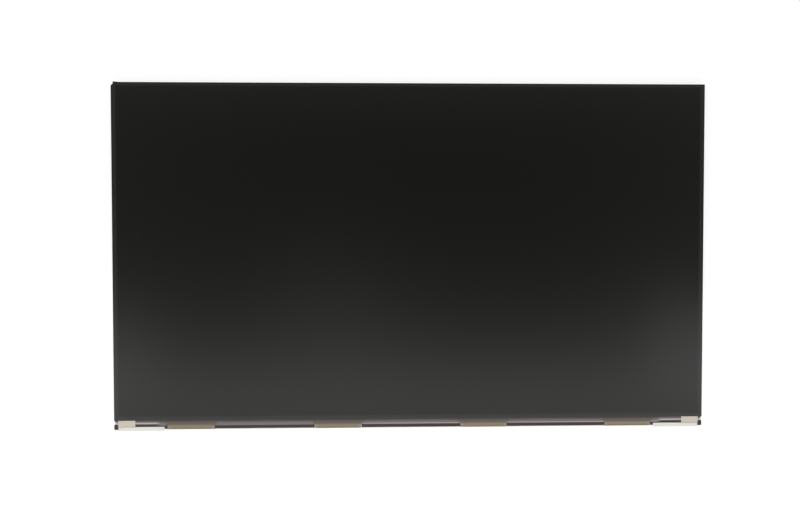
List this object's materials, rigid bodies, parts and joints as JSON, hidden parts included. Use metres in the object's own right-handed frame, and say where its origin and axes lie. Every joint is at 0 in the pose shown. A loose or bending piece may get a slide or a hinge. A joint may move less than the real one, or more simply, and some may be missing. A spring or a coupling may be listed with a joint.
{
  "type": "laptop screen panel",
  "caption": "Bare borderless laptop display panel: a matte dark screen over a thin edge-lit backlight, with driver films folded round its lower edge to a board behind.",
  "frame": {"origin": "under the middle of the outline, level with the outer face of the display connector, which is the part's lowest face when it lies on its back", "axes": "+X along the width, to the viewer's right; +Y up the picture; +Z out of the picture's face"},
  "size_m": [0.3498, 0.2048, 0.0042],
  "materials": {
    "polarizer_film": "matte anti-glare",
    "display_glass": "polished",
    "black_tape": "satin",
    "optical_film": "satin",
    "acrylic": "polished",
    "reflector_white": "satin",
    "flex_circuit": "satin",
    "led_body": "moulded",
    "white_plastic": "moulded",
    "aluminium_sheet": "rolled",
    "black_rubber": "moulded",
    "cloth_tape": "woven",
    "polyimide_film": "satin",
    "bare_chip": "ground",
    "circuit_board": "solder-masked",
    "adhesive": "tacky",
    "conductive_cloth": "metal-coated",
    "connector_plastic": "moulded",
    "tinned_metal": "tinned",
    "contact_metal": "gold-flashed",
    "chip_epoxy": "moulded",
    "ferrite": "pressed",
    "capacitor_body": "fired",
    "resistor_body": "glazed"
  },
  "bodies": {
    "root": {"front_polarizer": "polarizer_film", "rear_polarizer": "polarizer_film", "color_filter_glass": "display_glass", "tft_glass": "display_glass", "rim_tape": "black_tape", "edge_tape_top": "black_tape", "edge_tape_left": "black_tape", "edge_tape_right": "black_tape", "upper_prism_sheet": "optical_film", "lower_prism_sheet": "optical_film", "diffuser_sheet": "optical_film", "light_guide_plate": "acrylic", "reflector_sheet": "reflector_white", "led_flex": "flex_circuit", "led_packages": "led_body", "mold_frame": "white_plastic", "back_plate": "aluminium_sheet", "corner_bumper_left": "black_rubber", "corner_bumper_right": "black_rubber", "corner_tape_left": "cloth_tape", "corner_tape_right": "cloth_tape", "driver_film_1": "polyimide_film", "driver_film_2": "polyimide_film", "driver_film_3": "polyimide_film", "driver_film_4": "polyimide_film", "driver_chip_1": "bare_chip", "driver_chip_2": "bare_chip", "driver_chip_3": "bare_chip", "driver_chip_4": "bare_chip", "driver_board": "circuit_board", "board_tape": "adhesive", "ground_tape_1": "conductive_cloth", "ground_tape_2": "conductive_cloth", "ground_tape_3": "conductive_cloth", "connector_housing": "connector_plastic", "connector_shell": "tinned_metal", "connector_contacts": "contact_metal", "timing_chip": "chip_epoxy", "power_chip": "chip_epoxy", "backlight_chip": "chip_epoxy", "memory_chip": "chip_epoxy", "diodes": "chip_epoxy", "inductors": "ferrite", "capacitors": "capacitor_body", "resistors": "resistor_body"}
  },
  "joints": []
}
